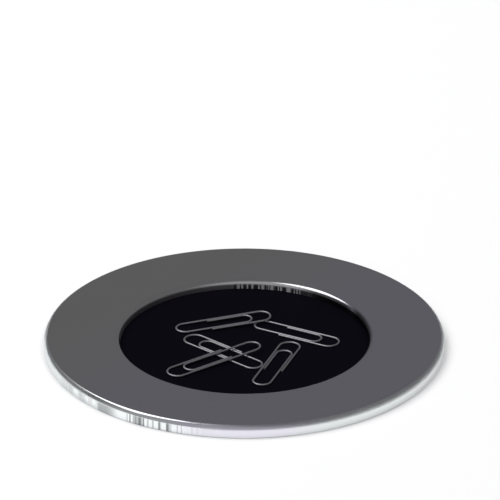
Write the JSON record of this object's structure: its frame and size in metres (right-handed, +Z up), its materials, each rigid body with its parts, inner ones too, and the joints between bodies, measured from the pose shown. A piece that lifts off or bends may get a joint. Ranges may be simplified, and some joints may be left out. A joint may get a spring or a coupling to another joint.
{
  "type": "magnetic pin cushion",
  "caption": "Round magnetic pin and clip dish: a wide satin metal rim with polished rounded edges around a shallow black magnetic well, with loose wire clips lying in it.",
  "frame": {"origin": "centre of the dish, on the surface it stands on", "axes": "+Z up out of the well; +Y towards the back of the dish as pictured; +X to its right"},
  "size_m": [0.129, 0.129, 0.0043],
  "materials": {
    "satin_metal": "satin top, mirror-polished edges and walls",
    "floor_black": "smooth black enamel",
    "carrier_plastic": "matt black",
    "magnet_nickel": "nickel plated",
    "plate_steel": "zinc plated",
    "screw_steel": "plain",
    "pad_rubber": "soft matt",
    "clip_wire": "bright drawn wire"
  },
  "bodies": {
    "dish": {"rim_ring": "satin_metal", "floor_disc": "floor_black", "magnet_carrier": "carrier_plastic", "magnet_1": "magnet_nickel", "magnet_2": "magnet_nickel", "magnet_3": "magnet_nickel", "magnet_4": "magnet_nickel", "magnet_5": "magnet_nickel", "magnet_6": "magnet_nickel", "magnet_7": "magnet_nickel", "base_plate": "plate_steel", "screw_1": "screw_steel", "screw_2": "screw_steel", "screw_3": "screw_steel", "screw_4": "screw_steel", "anti_slip_pad": "pad_rubber"},
    "clip_1_body": {"clip_1": "clip_wire"},
    "clip_2_body": {"clip_2": "clip_wire"},
    "clip_3_body": {"clip_3": "clip_wire"},
    "clip_4_body": {"clip_4": "clip_wire"},
    "clip_5_body": {"clip_5": "clip_wire"}
  },
  "joints": [
    {"name": "clip_2_lift", "type": "slide", "parent": "dish", "child": "clip_2_body", "axis": [0, 0, 1], "range_m": [0, 0.05]},
    {"name": "clip_1_lift", "type": "slide", "parent": "clip_2_body", "child": "clip_1_body", "axis": [0, 0, 1], "range_m": [0, 0.05]},
    {"name": "clip_4_lift", "type": "slide", "parent": "dish", "child": "clip_4_body", "axis": [0, 0, 1], "range_m": [0, 0.05]},
    {"name": "clip_3_lift", "type": "slide", "parent": "clip_4_body", "child": "clip_3_body", "axis": [0, 0, 1], "range_m": [0, 0.05]},
    {"name": "clip_5_lift", "type": "slide", "parent": "dish", "child": "clip_5_body", "axis": [0, 0, 1], "range_m": [0, 0.05]}
  ]
}
